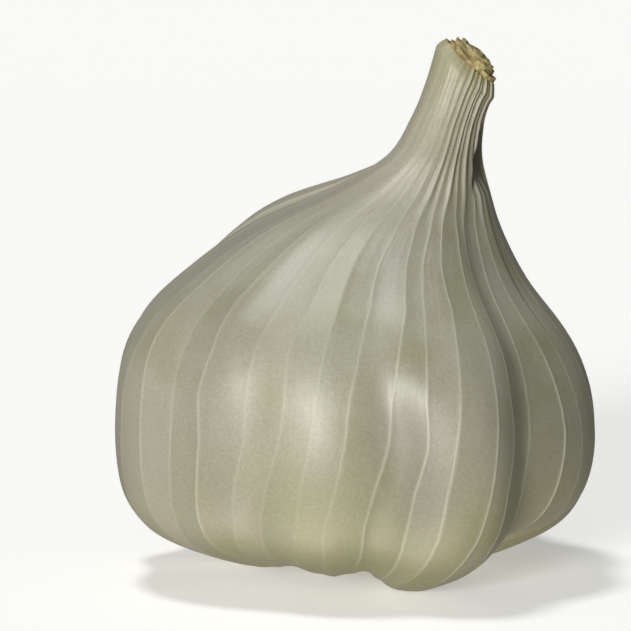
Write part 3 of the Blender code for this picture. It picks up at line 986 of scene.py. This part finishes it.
tree.links.new(straw_bump.outputs[0], shader.inputs["Normal"])
shader.inputs["Roughness"].default_value = 0.8
shader.inputs["IOR"].default_value = 1.45
for item in layers + [stalk]:
    item.data.materials.clear()
    item.data.materials.append(straw)
    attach(item, "root")
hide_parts("stalk")
print("straw on", len(layers) + 1, "pieces")

# %% [markdown]
# ## Root plate
#
# Underneath, the stem is a corky disc from which the roots grew. They are trimmed to
# stubs. The disc is a turned form with rings of bark.

# %% Corky disc
# radius and height of each ring, mm, from the top round to the middle underneath
PLATE_SECTION = ((4.2, 3.3), (6.2, 2.6), (6.8, 2.1), (6.6, 1.6), (6.0, 1.35), (5.4, 1.5), (4.8, 1.2),
                 (4.1, 1.35), (3.4, 1.1), (2.6, 1.25), (1.8, 1.05), (1.0, 1.2), (0.5, 1.1))
PLATE_COLUMNS = 96
plate_turn = np.radians(np.arange(PLATE_COLUMNS) * 360.0 / PLATE_COLUMNS)
plate_rings = []
for radius, level in reversed(PLATE_SECTION):
    wrinkle = 0.12 * np.sin(plate_turn * 17 + radius) + 0.08 * rng.uniform(-1, 1, PLATE_COLUMNS)
    r = radius * (1 + 0.03 * np.sin(plate_turn * 3))
    low = level + wrinkle * (level < 2.0)
    plate_rings.append(np.stack([r * np.sin(plate_turn), -r * np.cos(plate_turn), low], axis=1))
plate, _, _ = sphere_to_rings("root_plate_cork", np.array(plate_rings), (0.0, 0.0, 1.15), (0.0, 0.0, 3.4))
bpy.ops.object.shade_smooth_by_angle(angle=math.radians(45))
print("root plate faces:", len(plate.data.polygons))

# %% [markdown]
# The roots are small seven-sided cylinders, each a little different in length, lean
# and roughness, so they are added one by one in four rings and then joined. So few
# faces are enough for stubs half a millimetre thick.

# %% Trimmed roots
STUB_RINGS = ((5.9, 26), (5.1, 22), (4.2, 16), (3.2, 10))   # radius in mm, stubs
STUB_TOP = 1.55         # mm


def root_stub(place, lean, long, thick):
    """One trimmed root hanging from the disc."""
    bpy.ops.object.select_all(action="DESELECT")
    bpy.ops.mesh.primitive_cylinder_add(vertices=7, radius=thick * MM, depth=long * MM)
    stub = bpy.context.object
    bpy.ops.object.mode_set(mode="EDIT")
    bpy.ops.mesh.select_all(action="SELECT")
    bpy.ops.transform.translate(value=[value * MM for value in place])
    bpy.ops.object.mode_set(mode="OBJECT")
    for vertex in stub.data.vertices:
        below = place[2] + long / 2 - vertex.co.z / MM
        vertex.co.x += (lean[0] * below + rng.uniform(-0.05, 0.05)) * MM
        vertex.co.y += (lean[1] * below + rng.uniform(-0.05, 0.05)) * MM
    return stub


stubs = []
for out_by, many in STUB_RINGS:
    for k in range(many):
        turn = math.tau * (k + rng.uniform(-0.3, 0.3)) / many
        out = np.array([math.sin(turn), -math.cos(turn)])
        long = rng.uniform(0.6, 1.15)
        where = (*(out * out_by + SHIFT[:2]), STUB_TOP - long / 2)
        stubs.append(root_stub(where, out * rng.uniform(0.0, 0.5), long, rng.uniform(0.2, 0.34)))
bpy.ops.object.select_all(action="DESELECT")
for stub in stubs:
    stub.select_set(True)
bpy.context.view_layer.objects.active = stubs[0]
bpy.ops.object.join()
roots = bpy.context.object
roots.name = "root_stubs"
bpy.ops.object.transform_apply(location=True, rotation=True, scale=True)
bpy.ops.object.shade_smooth_by_angle(angle=math.radians(50))
print("stubs:", len(stubs), "faces:", len(roots.data.polygons))

# %% [markdown]
# ## Cork
#
# The disc and the root stubs are dry cork: matte, brown, and mottled over less than a
# millimetre. The same noise raises the surface where it is pale.

# %% Cork material
BARK_DARK, BARK_PALE = linear("#5d4a2c"), linear("#b09a6c")
cork, tree, shader = new_material("root_cork")
place = add(tree, "ShaderNodeTexCoord").outputs["Object"]
bark = add(tree, NOISE, {"Vector": place, "Scale": 1.0 / (0.7 * MM), "Detail": 5.0, "Roughness": 0.65})
bark_part = add(tree, MAP_RANGE, {"Value": bark.outputs[0], "From Min": 0.35, "From Max": 0.65})
bark_mix = add(tree, MIX, {0: bark_part.outputs[0], 6: BARK_DARK, 7: BARK_PALE}, data_type="RGBA")
bark_bump = add(tree, BUMP, {"Height": bark.outputs[0], "Strength": 0.8, "Distance": 0.2 * MM})
tree.links.new(bark_mix.outputs[2], shader.inputs["Base Color"])
tree.links.new(bark_bump.outputs[0], shader.inputs["Normal"])
shader.inputs["Roughness"].default_value = 0.9
for item in (plate, roots):
    item.data.materials.clear()
    item.data.materials.append(cork)
    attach(item, "root")
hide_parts("root_plate")
print("cork on the root plate and its roots")
